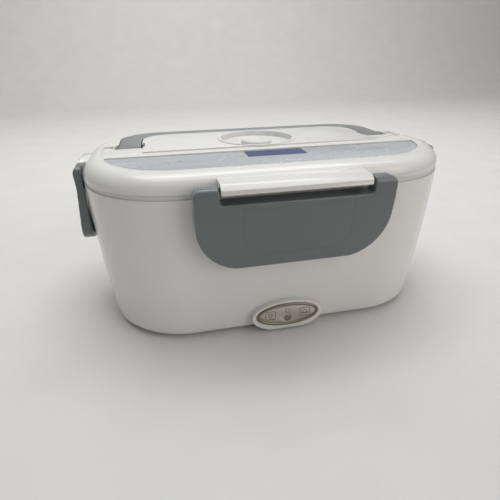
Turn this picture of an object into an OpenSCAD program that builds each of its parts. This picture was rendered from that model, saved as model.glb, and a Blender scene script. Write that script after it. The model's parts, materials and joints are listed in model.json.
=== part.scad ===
// Electric lunch box: a plastic body with a heated well, a lift-out steel tray
// with a side-dish box, and a lift-off lid held by four clip latches.
// Millimetres, +Z up, front towards -Y, origin on the table under the centre.

/* [Lid outline] */
// outside length of the lid, left to right
lid_length = 221.6; // [200:0.4:240]
// outside width of the lid, front to back
lid_width = 136; // [130:1:150]
// radius of the lid's corners seen from above
corner_r = 54; // [46:1:60]
// wall of the lid, the body and the well
wall = 2; // [1.6:0.1:2.4]

/* [Heights] */
// top face of the well's flange, on which the lid is pressed
flange_top = 93; // [88:1:100]
// thickness of the well's flange
flange_t = 2.5; // [2:0.1:3]
// height of the lid's edge above the flange
lid_gap = 0.4; // [0.3:0.1:0.8]
// height of the lid from its edge to its top face
lid_height = 9.6; // [9:0.1:12]
// rounding of the lid's upper edge
lid_edge_r = 9; // [6:0.1:9.2]
// height of the raised field behind the cutlery cover
field_rise = 0.8; // [0.4:0.1:1.2]

/* [Body] */
// how far the body's wall stands in from the lid at its top
body_inset = 0.1; // [0:0.1:1.5]
// how far the wall leans in from its top to its foot
body_taper = 6.5; // [3:0.1:7]
// how fast the lean grows towards the foot
taper_power = 1.74; // [1:0.02:2]
// height of the ridges under the flange that the latches grip
ridge_h = 3; // [2:0.1:4]
// how far those ridges stand out from the lid's outline
ridge_out = 0.5; // [0.3:0.1:0.8]
// thickness of the base plate
base_t = 3.5; // [3.5:0.1:5]
// how far the base plate's edge stands in from the lid
base_inset = 7.6; // [7.2:0.1:9]
// height of the rubber feet below the base plate
foot_h = 1.5; // [1:0.1:3]
// radius of a rubber foot
foot_r = 7; // [5:0.5:9]

/* [Heated well] */
// height of the well's floor above the table
well_floor = 24; // [23:0.5:28]
// height of the ledge that carries the tray
ledge_z = 85; // [80:1:88]
// width of that ledge
ledge_w = 3.2; // [3:0.1:5]
// thickness of the aluminium heating plate above the floor
plate_t = 2.5; // [2:0.1:3]

/* [Tray and side-dish box] */
// sheet thickness of the steel tray
sheet = 0.8; // [0.6:0.1:1]
// play between the tray and the well
tray_play = 0.5; // [0.4:0.1:0.8]
// x of the side-dish box's inner wall
side_box_x = 42; // [30:1:50]
// length of the side-dish box along x
side_box_l = 46; // [36:1:46]
// half width of the side-dish box
side_box_hw = 42; // [36:1:42]
// depth of the side-dish box
side_box_depth = 50; // [40:1:54]

/* [Clip latches] */
// half width of the front and back latches
latch_hw = 53; // [48:1:56]
// half width of the two end latches
end_latch_hw = 20; // [18:0.5:22]
// width of each ear beside the hinge bar
ear_w = 12.5; // [9:0.5:14]
// width of each ear of the end latches
end_ear_w = 6.5; // [5.5:0.5:7.5]
// how far the front and back latches stand out from the lid
latch_out = 13.2; // [12:0.1:14]
// how far the end latches stand out from the lid
end_latch_out = 5.2; // [5:0.1:6.5]
// height of the latches' lower edge above the table
latch_bottom = 52; // [48:1:60]
// radius of the lower corners of the front and back latches
latch_corner = 26; // [20:1:30]
// half width of the finger panel on the front and back latches
panel_hw = 30; // [24:1:34]
// how far the flap's upper edge stands below the body's rim
flap_drop = 0.2; // [0:0.1:1]
// height of the hinge axis above the lid's edge
hinge_rise = 3.9; // [3.7:0.1:4.2]
// radius of the pins of the front and back latches
pin_r = 1.6; // [1.2:0.1:1.6]
// radius of the pins of the end latches
end_pin_r = 1.2; // [1:0.1:1.2]

/* [Carry handle] */
// distance of the arms' outer faces from the middle
handle_hx = 91.2; // [86:0.2:92]
// width of the handle's arms and back bar
handle_w = 13.6; // [11:0.2:15]
// y of the back bar's outer face
handle_back = 59.4; // [56:0.2:60]
// y of the pivot
handle_pivot_y = 7.9; // [6:0.1:10]
// thickness of the handle
handle_t = 6; // [5:0.2:6]

/* [Cutlery compartment] */
// y of the cover's straight back edge
cover_back = -19.5; // [-24:0.5:-18]
// distance of the cover's front edge in from the lid's outline
cover_inset = 13; // [12:0.5:15]
// thickness of the clear cover
cover_t = 1.6; // [1.4:0.1:2]
// length and width of the plain label on the cover
label_size = [36, 13.5];

/* [Steam vent] */
// y of the vent's centre
vent_y = 14; // [10:1:18]
// radius of the vent's dish
dish_r = 24.6; // [20:0.2:26]
// radius of the vent plug's head
plug_r = 10.5; // [8:0.5:14]

/* [Indicator] */
// half length of the oval indicator
oval_hx = 19.8; // [16:0.2:21]
// half height of the oval indicator
oval_hz = 8; // [6:0.2:8.4]
// height of the oval's centre
oval_z = 12.4; // [12:0.1:14]
// y of the indicator boss's face
boss_y = -67.3; // [-69:0.1:-66]

/* [Hidden] */
$fn = 64;
big = 400;                                // cutter size
hx = lid_length / 2;
hy = lid_width / 2;
cx = hx - corner_r;                       // corner centres of every outline
cy = hy - corner_r;
shell_top = flange_top - flange_t;
lid_z0 = flange_top + lid_gap;
lid_top = lid_z0 + lid_height;
field_top = lid_top + field_rise;
base_top = foot_h + base_t;
play = 0.3;                               // gap between parts that don't bear
run = 0.05;                               // radial play of a pin in its bore
thin = 1.6;                               // inner plastic walls
hinge_z = lid_z0 + hinge_rise;
flap_top = shell_top - flap_drop;
well_out = body_inset + wall + 0.5;       // insets of the well's upper wall
well_in = well_out + thin;
ledge_in = well_in + ledge_w;
well_foot_in = ledge_in + 3.4;
flange_recess = 0.9;                      // shadow gap between the lid and the body
tray_out = ledge_in + tray_play;          // insets of the tray's wall
tray_foot = well_foot_in + tray_play;
tray_flange_in = well_in + 0.4;
tray_bottom = well_floor + plate_t + 0.2;
liner_out = well_in + 0.6;                // insets of the lid's inner plate
liner_in = liner_out + 1.5;
liner_z = ledge_z + 4.4;
liner_t = 1.5;
liner_flange_z = flange_top + 1.4;
liner_flange_t = 1;
pocket_floor = liner_z + liner_t + thin;  // cutlery compartment
cover_z1 = lid_top - 0.6;
cover_z0 = cover_z1 - cover_t;
cover_pivot = [cover_back - 1.1, (cover_z0 + cover_z1) / 2];
cover_pin_r = 0.7;
cover_socket = 1.8;
channel_gap = 0.8;
handle_z1 = lid_top;
handle_z0 = handle_z1 - handle_t;
handle_pivot_z = (handle_z0 + handle_z1) / 2;
handle_pin_r = 1.5;
handle_corner = 25;
grip_hollow_hl = 52;                      // half length of the grip hollow
pivot_slot_l = 13;
pivot_slot_w = 1.8;
channel_floor = handle_z0 - play;
channel_t = 1.2;
dish_floor = field_top - 2.9;
vent_hole_r = 3.8;
bar_z0 = hinge_z - 2.7;                   // hinge bars on the lid's sides
bar_z1 = hinge_z + 2.9;
ear_top = hinge_z + 1.6;
pivot_out = 7.25;                         // hinge axes out from the lid's face
end_pivot_out = 2.6;
end_latch_corner = 12;
end_panel_hw = 8;
chamber_top = well_floor - thin;          // underside of the well's floor
column_pos = [62, 30];
foot_pos = [80, 38];
window_half = [44.5, 24.5];               // opening for the heating plate
boss_back = -(hy - base_inset) - 0.4;
boss_side = 2.4;                          // margins of the boss round the oval
boss_edge = 2.6;
boss_drop = 1.2;                          // how far the boss hangs below the oval's centre
bezel_w = 2;
lamp_z = 9.4;
lamp_r = 2.2;
inlet_z = 14;
wall_x = hx - wall_inset(inlet_z);

WHITE = [0.93, 0.93, 0.91];
GREY = [0.53, 0.56, 0.58];
STEEL = [0.75, 0.76, 0.77];
CLEAR = [0.85, 0.88, 0.9, 0.5];
BLACK = [0.12, 0.12, 0.12];

// inset of the body's outer face from the lid outline at a height
function wall_inset(z) =
    body_inset + body_taper * pow(max(0, 1 - z / shell_top), taper_power);
function shell_line(n, extra) =
    [for (i = [0:n]) let (z = base_top + (shell_top - base_top) * i / n)
        [corner_r - wall_inset(z) - extra, z]];
function reversed(p) = [for (i = [len(p) - 1:-1:0]) p[i]];
function quarter(r, n) = [for (i = [0:n]) [r * sin(90 * i / n), r * (1 - cos(90 * i / n))]];
function oval(a, b, n = 56) = [for (i = [0:n - 1]) [a * cos(360 * i / n), b * sin(360 * i / n)]];

// part to show

// ---------- outlines and sweeps ----------

// rounded rectangle given by its inset from the lid's outline
module outline(inset) {
    r = corner_r - inset;
    square([2 * (cx + r), 2 * cy], center = true);
    square([2 * cx, 2 * (cy + r)], center = true);
    for (sx = [-1, 1], sy = [-1, 1]) translate([sx * cx, sy * cy]) circle(r);
}

module slab(inset, z0, z1)
    translate([0, 0, z0]) linear_extrude(z1 - z0) outline(inset);

// rounded rectangle with its own half sizes and corner radius
module plate2d(ax, ay, r) {
    square([2 * ax, 2 * (ay - r)], center = true);
    square([2 * (ax - r), 2 * ay], center = true);
    for (sx = [-1, 1], sy = [-1, 1]) translate([sx * (ax - r), sy * (ay - r)]) circle(r);
}

module plate(ax, ay, r, z0, z1)
    translate([0, 0, z0]) linear_extrude(z1 - z0) plate2d(ax, ay, r);

// carries a wall section around an outline: x of the section is the distance
// out from the corner centres, y is the height
module around(ax = cx, ay = cy) {
    for (k = [0:3]) {
        s = [[1, 1], [-1, 1], [-1, -1], [1, -1]][k];
        translate([s[0] * ax, s[1] * ay]) rotate(90 * k) rotate_extrude(angle = 90) children();
    }
    for (m = [0, 1]) {
        mirror([0, m, 0]) translate([0, ay, 0])
            rotate([90, 0, 90]) linear_extrude(2 * ax, center = true) children();
        mirror([m, 0, 0]) translate([ax, 0, 0])
            rotate([90, 0, 0]) linear_extrude(2 * ay, center = true) children();
    }
}

// solid with the outline's plan and a round upper edge
module crown(inset, z0, z1, edge) {
    r = corner_r - inset;
    around() intersection() {
        union() {
            square_from(0, z0, r, z1 - edge);
            square_from(0, z0, r - edge, z1);
            translate([r - edge, z1 - edge]) circle(edge);
        }
        square_from(0, z0, r, z1);
    }
    translate([-cx, -cy, z0]) cube([2 * cx, 2 * cy, z1 - z0]);
}

module square_from(x0, y0, x1, y1) translate([x0, y0]) square([x1 - x0, y1 - y0]);

module cyl(p, r, h) translate(p) cylinder(r = r, h = h);
// cylinders along x and along y from a start point
module cyl_x(p, r, h) translate(p) rotate([0, 90, 0]) cylinder(r = r, h = h);
module cyl_y(p, r, h) translate(p) rotate([-90, 0, 0]) cylinder(r = r, h = h);
// box between two corners
module block(a, b) translate(a) cube(b - a);
module four(p) for (sx = [-1, 1], sy = [-1, 1]) translate([sx * p[0], sy * p[1], 0]) children();
// prism of an x-z drawing between two y values
module front_prism(y0, y1) translate([0, y1, 0]) rotate([90, 0, 0]) linear_extrude(y1 - y0) children();

// ---------- body ----------

module outer_shell() color(WHITE) difference() {
    union() {
        around() polygon(concat(shell_line(12, 0), reversed(shell_line(12, wall))));
        // ridges under the flange that the latch hooks grip
        for (a = [0, 180]) at_side(a, hy) grip_ridge(panel_hw + 2);
        for (a = [90, 270]) at_side(a, hx) grip_ridge(end_panel_hw + 1.5);
        // oval boss that carries the indicator
        difference() {
            front_prism(boss_y, boss_back) translate([0, oval_z - boss_drop])
                polygon(oval(oval_hx + boss_side, oval_hz + boss_edge));
            block([-big, boss_y - 1, -1], [big, boss_back + 1, foot_h + 0.4]);
        }
        // posts behind the boss that carry the circuit board
        for (s = [-1, 1]) cyl_y([s * 14, boss_back - 0.5, oval_z], 2, board_y() - boss_back + 0.5);
    }
    front_prism(boss_y - 1, boss_y + 0.8) translate([0, oval_z]) polygon(oval(oval_hx, oval_hz));
    cyl_y([0, boss_y - 1, lamp_z], lamp_r + 0.1, 12);
    block([-wall_x - 5, -9.7, inlet_z - 5.2], [-wall_x + 6, 9.7, inlet_z + 5.2]);
    cyl_x([wall_x - 6, 0, inlet_z], 6.2, 12);
    cyl_x([wall_x, 0, inlet_z], 7.4, 6);
}

module grip_ridge(half) block([-half, -ridge_out, shell_top - ridge_h], [half, body_inset + wall / 2, shell_top]);

function board_y() = boss_back + 2.4;

module inner_well() color(WHITE) {
    wf = corner_r - well_foot_in;
    difference() {
        union() {
            around() {
                // flange on the body's upper edge
                square_from(corner_r - well_in, shell_top, corner_r - body_inset - flange_recess, flange_top);
                // upper wall down to the tray's ledge
                square_from(corner_r - well_in, ledge_z - thin, corner_r - well_out, flange_top);
                square_from(corner_r - ledge_in, ledge_z - thin, corner_r - well_out, ledge_z);
                // tapered lower wall
                polygon([[corner_r - ledge_in, ledge_z], [corner_r - ledge_in + thin, ledge_z],
                    [wf + thin, chamber_top], [wf - 3, chamber_top], [wf - 3, well_floor], [wf, well_floor + 3]]);
            }
            slab(well_foot_in + 1, chamber_top, well_floor);
            four(column_pos) cyl([0, 0, base_top], 4, chamber_top - base_top + 0.5);
        }
        plate(window_half[0], window_half[1], 8, chamber_top - 1, well_floor + 1);
        four(column_pos) cyl([0, 0, base_top - 1], screw_r(), 12);
        for (s = [-1, 1]) cyl([0, s * 34, chamber_top - 1], 1, thin + 0.4);
    }
}

function screw_r() = 1.5;

module base_plate() color(WHITE) difference() {
    r = corner_r - base_inset;
    union() {
        around() polygon([[0, foot_h], [r - 2, foot_h], [r - 0.5, foot_h + 1], [r, base_top - 1], [r, base_top], [0, base_top]]);
        block([-cx, -cy, foot_h], [cx, cy, base_top]);
    }
    four(foot_pos) cyl([0, 0, foot_h - 1], foot_r, 2);
    four(column_pos) {
        cyl([0, 0, foot_h - 1], 3.3, 3.2);
        cyl([0, 0, foot_h - 1], screw_r() + 0.2, base_t + 2);
    }
    // cooling slots under the heater
    for (i = [-4:4]) plate_slot(i * 8);
}

module plate_slot(x) translate([x, 0, foot_h - 1]) linear_extrude(base_t + 2) plate2d(1.2, 11, 1.1);

module rubber_feet() color(BLACK) four(foot_pos) {
    cyl([0, 0, 0], foot_r - 0.8, 0.4);
    cyl([0, 0, 0.4], foot_r, foot_h + 0.6);
}

module base_screws() color(STEEL) four(column_pos) difference() {
    union() {
        cyl([0, 0, foot_h + 0.4], 3, 1.8);
        cyl([0, 0, foot_h + 2.2], screw_r(), 12);
    }
    for (a = [0, 90]) rotate(a) block([-2, -0.35, foot_h], [2, 0.35, foot_h + 1.4]);
}

module heating_plate() color(STEEL) {
    plate(48, 28, 10, well_floor, well_floor + plate_t);
    plate(window_half[0] - 0.5, window_half[1] - 0.5, 7.5, chamber_top - 2, well_floor + 0.1);
}

heater_z = chamber_top - 2;

module ptc_heater() color([0.82, 0.8, 0.74]) block([-28, -12, heater_z - 5], [28, 12, heater_z]);

// strap that presses the heater against the plate
module heater_bracket() color(STEEL) difference() {
    union() {
        block([-8, -30, heater_z - 6.2], [8, 30, heater_z - 5]);
        for (s = [-1, 1]) mirror([0, s > 0 ? 0 : 1, 0]) {
            block([-8, 28.8, heater_z - 6.2], [8, 30, chamber_top]);
            block([-8, 28.8, chamber_top - 1.2], [8, 38, chamber_top]);
        }
    }
    for (s = [-1, 1]) cyl([0, s * 34, chamber_top - 3], 1.1, 4);
}

module bracket_screws() color(STEEL) for (s = [-1, 1]) translate([0, s * 34, 0]) {
    cyl([0, 0, chamber_top - 3], 2.2, 1.8);
    cyl([0, 0, chamber_top - 1.2], 0.95, thin + 0.4);
}

module thermostat() color([0.25, 0.22, 0.2]) {
    cyl([36.5, 0, heater_z - 7], 7, 5);
    cyl([36.5, 0, heater_z - 2], 7.6, 2);
}

module thermal_fuse() color([0.85, 0.83, 0.75]) cyl_y([-36, -12, heater_z - 2], 2, 24);

module circuit_board() color([0.1, 0.35, 0.2]) {
    block([-18, board_y(), foot_h + base_t + 1.5], [18, board_y() + 1.6, chamber_top - 1.5]);
    block([-15, board_y() + 1.6, 12], [-7, board_y() + 5, 17]);
    for (x = [4, 9]) cyl_y([x, board_y() + 1.6, 12], 2.1, 5);
}

module light_pipe() color([0.95, 0.4, 0.3])
    cyl_y([0, boss_y - 0.3, lamp_z], lamp_r, board_y() - boss_y + 0.3);

module indicator_bezel() color([0.36, 0.32, 0.27]) difference() {
    front_prism(boss_y - 0.7, boss_y + 0.8) translate([0, oval_z]) polygon(oval(oval_hx - 0.1, oval_hz - 0.1));
    front_prism(boss_y - 1.7, boss_y + 1.8) translate([0, oval_z]) polygon(oval(oval_hx - bezel_w, oval_hz - bezel_w));
}

module indicator_plate() color([0.78, 0.77, 0.74]) difference() {
    front_prism(boss_y - 0.1, boss_y + 0.8) translate([0, oval_z]) polygon(oval(oval_hx - bezel_w - 0.1, oval_hz - bezel_w - 0.1));
    cyl_y([0, boss_y - 1, lamp_z], lamp_r + 0.1, 4);
}

// mains socket low in the left end, with two pins in a figure-eight recess
module mains_inlet() color(BLACK) difference() {
    block([-wall_x - 0.4, -9.5, inlet_z - 5], [-wall_x + 15, 9.5, inlet_z + 5]);
    for (s = [-1, 1]) cyl_x([-wall_x - 1, s * 4.2, inlet_z], 3.7, 10);
    block([-wall_x - 1, -4.2, inlet_z - 3.7], [-wall_x + 9, 4.2, inlet_z + 3.7]);
    for (s = [-1, 1]) cyl_x([-wall_x + 8, s * 4.2, inlet_z], 1.2, 4);
}

// round car-lead socket low in the right end
module car_inlet() color(BLACK) difference() {
    union() {
        cyl_x([wall_x - 15, 0, inlet_z], 6, 15.5);
        cyl_x([wall_x, 0, inlet_z], 7.2, 1.2);
    }
    cyl_x([wall_x - 9, 0, inlet_z], 3.2, 12);
    cyl_x([wall_x - 12, 0, inlet_z], 1, 4);
}

module inlet_pins() color([0.8, 0.68, 0.35]) {
    for (s = [-1, 1]) cyl_x([-wall_x + 2.5, s * 4.2, inlet_z], 1.15, 9.4);
    cyl_x([wall_x - 12, 0, inlet_z], 0.95, 10);
}

module wiring() color([0.6, 0.1, 0.1]) {
    cyl_x([-wall_x + 15, 5, heater_z - 2], 1, wall_x - 15 - 38);
    cyl_x([36.5 + 7, 0, inlet_z], 1, wall_x - 15 - 43.5);
    for (x = [-10, 12]) cyl_y([x, board_y() + 1.6, heater_z - 1.5], 1, -12 - board_y() - 1.6);
}

// ---------- tray and side-dish box ----------

module food_tray() color(STEEL) {
    ro = corner_r - tray_out;
    rf = corner_r - tray_foot;
    bend = 6;
    around() {
        square_from(ro - sheet, ledge_z, corner_r - tray_flange_in, ledge_z + sheet);
        polygon(concat(
            [[ro, ledge_z + sheet]],
            [for (p = reversed(quarter(bend, 6))) [rf - bend + p[0], tray_bottom + p[1]]],
            [[0, tray_bottom], [0, tray_bottom + sheet]],
            [for (p = quarter(bend - sheet, 6)) [rf - bend + p[0], tray_bottom + sheet + p[1]]],
            [[ro - sheet, ledge_z + sheet]]));
    }
    block([-cx, -cy, tray_bottom], [cx, cy, tray_bottom + sheet]);
}

rim_z = ledge_z + sheet;                  // top of the tray's rim
box_t = 1.2;
box_lid_t = 1.4;
box_mid = side_box_x + side_box_l / 2;

module box_plan(grow) translate([box_mid, 0])
    plate2d(side_box_l / 2 + grow, side_box_hw + grow, 12 + grow);

module side_box() color(WHITE) difference() {
    union() {
        translate([0, 0, rim_z - side_box_depth]) linear_extrude(side_box_depth + box_t) box_plan(0);
        // flange that hangs on the tray's rim
        translate([0, 0, rim_z]) linear_extrude(box_t) intersection() {
            outline(tray_flange_in + 1);
            translate([side_box_x - 3, -big]) square(2 * big);
        }
    }
    translate([0, 0, rim_z - side_box_depth + box_t]) linear_extrude(side_box_depth + 2) box_plan(-box_t);
}

module side_box_lid() color(CLEAR) {
    translate([0, 0, rim_z + box_t]) linear_extrude(box_lid_t) box_plan(1.5);
    translate([0, 0, rim_z - 2]) linear_extrude(box_t + 2.1) difference() {
        box_plan(-box_t - play);
        box_plan(-box_t - play - 1.2);
    }
}

// ---------- lid ----------

// plan of the cutlery compartment: the lid's outline cut straight at the back
module cutlery_plan(inset, back) intersection() {
    outline(inset);
    translate([-big, back - 2 * big]) square(2 * big);
}

// plan of the channel round the raised field that takes the folded handle
module handle_plan(grow, front) intersection() {
    difference() {
        translate([0, handle_back - big]) plate2d(handle_hx + grow, big + grow, handle_corner + grow);
        translate([0, handle_back - handle_w - big])
            plate2d(handle_hx - handle_w - grow, big - grow, handle_corner - handle_w / 2 - grow);
    }
    translate([-big, front]) square(2 * big);
}

// hinge bar on one side of the lid, in the front side's place
module hinge_bar(half, out, pivot, pin) {
    slope = min(4, out - pivot + 0.4);        // depth of the bar's sloping face
    difference() {
        translate([-half, 0, 0]) rotate([90, 0, 90]) linear_extrude(2 * half)
            polygon([[wall, bar_z0], [-out + 0.7, bar_z0], [-out, bar_z0 + 0.7], [-out, bar_z1 - 2.6],
                [-out + slope / 2, bar_z1 - 0.7], [-out + slope, bar_z1], [wall + 2, bar_z1], [wall, bar_z0 + 2]]);
        for (s = [-1, 1]) cyl_x([s > 0 ? half - 5 : -half - 1, -pivot, hinge_z], pin + run, 6);
    }
}

// moves a front piece to the lid's front, back, left or right side
module at_side(a, reach) rotate([0, 0, a]) translate([0, -reach, 0]) children();

module lid_shell() color(WHITE) difference() {
    union() {
        difference() {
            union() {
                crown(0, lid_z0, lid_top, lid_edge_r);
                field();
            }
            // hollow under the lid, less what carries the pockets
            difference() {
                crown(wall, lid_z0 - 1, lid_top - wall, lid_edge_r - wall);
                translate([0, 0, lid_z0 - 2]) linear_extrude(lid_height + 2) cutlery_plan(cover_inset - 2, cover_back + 2.2);
                translate([0, 0, channel_floor - channel_t]) linear_extrude(lid_height) handle_plan(channel_gap + thin, handle_front() - 2);
                cyl([0, vent_y, dish_floor - thin], dish_r + 2, lid_height);
                for (s = [-1, 1]) pivot_recess(s, 1.4);
                translate([0, 0, channel_floor - channel_t]) linear_extrude(lid_height) pivot_slots(thin);
            }
        }
        // walls of the cutlery compartment below the lid's edge
        translate([0, 0, liner_z + liner_t]) linear_extrude(lid_z0 - liner_z - liner_t + 0.2)
            cutlery_plan(cover_inset - 2, cover_back + 2.2);
        for (a = [0, 180]) at_side(a, hy) hinge_bar(latch_hw - ear_w - 1, latch_out - 1, pivot_out, pin_r);
        for (a = [90, 270]) at_side(a, hx)
            hinge_bar(end_latch_hw - end_ear_w - 1, end_latch_out - 0.4, end_pivot_out, end_pin_r);
        // ring round the vent
        cyl([0, vent_y, lid_top - 0.5], dish_r + 2, field_rise + 1);
    }
    // cutlery compartment, the cover's seat and the cover's sockets
    translate([0, 0, pocket_floor]) linear_extrude(lid_height * 2) cutlery_plan(cover_inset + 2, cover_back + 0.5);
    translate([0, 0, cover_z0 - play]) linear_extrude(lid_height) cutlery_plan(cover_inset - 0.4, cover_back + 0.5);
    translate([0, 0, cover_z0 - 1.4]) linear_extrude(lid_height) intersection() {
        cutlery_plan(cover_inset - 0.4, cover_back + 0.5);
        translate([-big, cover_back - 4]) square(2 * big);
    }
    cyl_x([-cover_pin_x() - cover_socket - 0.2, cover_pivot[0], cover_pivot[1]], cover_pin_r + run,
        2 * (cover_pin_x() + cover_socket + 0.2));
    // channel, pivot bores and finger recesses of the handle
    translate([0, 0, channel_floor]) linear_extrude(lid_height) {
        handle_plan(channel_gap, handle_front());
        pivot_slots(0);
    }
    for (s = [-1, 1]) {
        pivot_recess(s, 0);
        cyl_x([s > 0 ? handle_hx - handle_w - 2 : -handle_hx - 2, handle_pivot_y, handle_pivot_z], handle_pin_r + 0.02, handle_w + 4);
    }
    // vent
    cyl([0, vent_y, dish_floor], dish_r, lid_height);
    cyl([0, vent_y, dish_floor - 5], vent_hole_r, 10);
}

function handle_front() = handle_pivot_y - handle_t / 2 - channel_gap;
// x at which the cover's side edge crosses its pivot line
function cover_pin_x() = cx + sqrt(pow(corner_r - cover_inset, 2) - pow(-cover_pivot[0] - cy, 2));

// raised field between the cutlery cover and the handle
module field() translate([0, 0, lid_top - 0.5]) linear_extrude(field_rise + 0.5) difference() {
    translate([0, handle_back - handle_w - channel_gap - 0.6 - big])
        plate2d(handle_hx - handle_w - channel_gap - 0.6, big, handle_corner - handle_w / 2 - 1);
    translate([-big, cover_back + 8.5 - 2 * big]) square(2 * big);
}

// slots on both sides of each arm's end; grow thickens them into their walls
module pivot_slots(grow) for (s = [-1, 1], x = [handle_hx, handle_hx - handle_w])
    translate([s * x, handle_front() + pivot_slot_l / 2])
        plate2d(channel_gap + pivot_slot_w + grow, pivot_slot_l / 2 + grow, 1.2 + grow);

// shallow finger recess outside a handle pivot; grow thickens it into its wall
module pivot_recess(s, grow) translate([s * (handle_hx + 6.6), handle_pivot_y - 1.5, lid_top - 1.4 - grow])
    linear_extrude(lid_height) plate2d(3.3 + grow, 8.5 + grow, 2);

module lid_liner() color(WHITE) difference() {
    union() {
        around() {
            square_from(corner_r - liner_in, liner_z, corner_r - liner_out, liner_flange_z + liner_flange_t);
            square_from(corner_r - liner_in, liner_flange_z, corner_r - wall - play, liner_flange_z + liner_flange_t);
        }
        slab(liner_out, liner_z, liner_z + liner_t);
    }
    cyl([0, vent_y, liner_z - 1], 6, liner_t + 2);
}

module lid_seal() color([0.8, 0.82, 0.82]) around() difference() {
    square_from(corner_r - liner_out + 0.1, flange_top + 0.05, corner_r - wall - play - 0.4, liner_flange_z);
    translate([corner_r - (liner_out + wall + play) / 2, flange_top]) circle(0.5);
}

module handle_pins() color(STEEL) for (s = [-1, 1])
    cyl_x([s > 0 ? handle_hx - handle_w - 2 : -handle_hx - 1.9, handle_pivot_y, handle_pivot_z], handle_pin_r, handle_w + 3.9);

module vent_plug() color([0.9, 0.91, 0.9]) translate([0, vent_y, 0]) difference() {
    union() {
        cyl([0, 0, dish_floor], plug_r, 1.4);
        translate([0, 0, dish_floor + 1.4]) cylinder(r1 = plug_r, r2 = plug_r - 0.8, h = 0.8);
        cyl([0, 0, dish_floor - 7.4], vent_hole_r - 0.5, 7.6);
    }
    // finger dip in the head and steam slot in the stem
    translate([0, 0, dish_floor + 16.8]) sphere(15.6);
    block([-0.7, -vent_hole_r, dish_floor - 8], [0.7, vent_hole_r, dish_floor - 2.2]);
}

module carry_handle() color(GREY) difference() {
    union() {
        translate([0, 0, handle_z0]) linear_extrude(handle_t) handle_plan(0, handle_pivot_y);
        for (s = [-1, 1])
            cyl_x([s > 0 ? handle_hx - handle_w : -handle_hx, handle_pivot_y, handle_pivot_z], handle_t / 2, handle_w);
    }
    for (s = [-1, 1])
        cyl_x([s > 0 ? handle_hx - handle_w - 1 : -handle_hx - 1, handle_pivot_y, handle_pivot_z], handle_pin_r + run, handle_w + 2);
    // grip hollow under the back bar
    translate([0, handle_back - handle_w / 2, handle_z0 - 1]) linear_extrude(3) plate2d(grip_hollow_hl, handle_w / 2 - 2.4, 4);
}

module cutlery_cover() color(CLEAR) {
    difference() {
        translate([0, 0, cover_z0]) linear_extrude(cover_t) cutlery_plan(cover_inset, cover_back);
        // bevel along the back edge so that it turns clear of the lid
        translate([-big, cover_back, cover_z1]) rotate([45, 0, 0]) translate([0, -0.35, -0.35]) cube([2 * big, 0.7, 0.7]);
    }
    for (s = [-1, 1])
        cyl_x([s > 0 ? cover_pin_x() - 3 : -cover_pin_x() - cover_socket, cover_pivot[0], cover_pivot[1]], cover_pin_r, 3 + cover_socket);
}

module cover_label() color([0.2, 0.3, 0.55])
    block([2 - label_size[0] / 2, cover_back - 1.2 - label_size[1], cover_z1], [2 + label_size[0] / 2, cover_back - 1.2, cover_z1 + 0.15]);

// ---------- clip latches ----------

// front view of a latch: a flap with round lower corners and two ears
module latch_front(hw, ear, r) {
    flap_plan(hw, r, flap_top, 0);
    corner = min(4, ear / 2);
    for (s = [-1, 1]) mirror([s > 0 ? 0 : 1, 0]) {
        square_from(hw - ear, flap_top - 1, hw, ear_top - corner);
        square_from(hw - ear, flap_top - 1, hw - corner, ear_top);
        translate([hw - corner, ear_top - corner]) circle(corner);
        // round corner between the ear and the flap's upper edge
        difference() {
            square_from(hw - ear - slot_r, flap_top - 1, hw - ear + 0.1, flap_top + slot_r);
            translate([hw - ear - slot_r, flap_top + slot_r]) circle(slot_r);
        }
    }
}

slot_r = 1.8;

// flap with round lower corners, drawn in by an inset on its sides and foot
module flap_plan(hw, r, top, inset) intersection() {
    translate([0, latch_bottom + r]) {
        square_from(-hw + inset, 0, hw - inset, top - latch_bottom - r);
        square_from(-hw + r, -r + inset, hw - r, 0.1);
        for (s = [-1, 1]) translate([s * (hw - r), 0]) circle(r - inset);
    }
    square_from(-hw, 0, hw, top);
}

// side section of a latch: y from the lid's face, negative outwards; ear_in is
// the inner face of the ears
module latch_side(out, rake, ear_in) {
    clear = ridge_out + play;
    polygon([
        [-clear, latch_bottom], [-out + rake + 2.2, latch_bottom],
        [-out + rake + 0.5, latch_bottom + 0.8], [-out + rake, latch_bottom + 2.4], [-out + 0.3, flap_top - 4],
        [-out, flap_top + 2], [-out, ear_top - 2.8], [-out + 0.4, ear_top - 1.5], [-out + 1.1, ear_top - 0.5],
        [-out + 2.3, ear_top], [-ear_in - 0.6, ear_top], [-ear_in, ear_top - 0.8], [-ear_in, flap_top + 1],
        [-clear, flap_top]]);
}

module latch_bulk(hw, out, rake, ear_in)
    translate([-hw - 1, 0, 0]) rotate([90, 0, 90]) linear_extrude(2 * hw + 2) latch_side(out, rake, ear_in);

module latch(hw, ear, out, rake, r, panel, pivot, pin, ear_in) color(GREY) {
    skin = 2.4;
    difference() {
        intersection() {
            front_prism(-out - 4, 2) latch_front(hw, ear, r);
            latch_bulk(hw, out, rake, ear_in);
        }
        // hollow back of the flap
        intersection() {
            front_prism(-out - 4, 2) flap_plan(hw, r, flap_top - skin, skin);
            translate([0, skin, 0]) latch_bulk(hw, out, rake, ear_in);
        }
        // outline of the finger panel
        difference() {
            front_prism(-out - 4, 0) difference() {
                panel_plan(panel, 0);
                panel_plan(panel, -0.9);
            }
            translate([0, groove, 0]) latch_bulk(hw, out, rake, ear_in);
        }
    }
    // hook that snaps behind the body's ridge
    block([-panel, -out + skin - 0.2, hook_z - 3], [panel, -ridge_out - play, hook_z]);
    // hinge pins on the ears' inner faces
    for (s = [-1, 1])
        cyl_x([s > 0 ? hw - ear - 4 : -hw + ear - 0.5, -pivot, hinge_z], pin, 4.5);
}

groove = 0.3;
hook_z = shell_top - ridge_h - 0.4;

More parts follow.
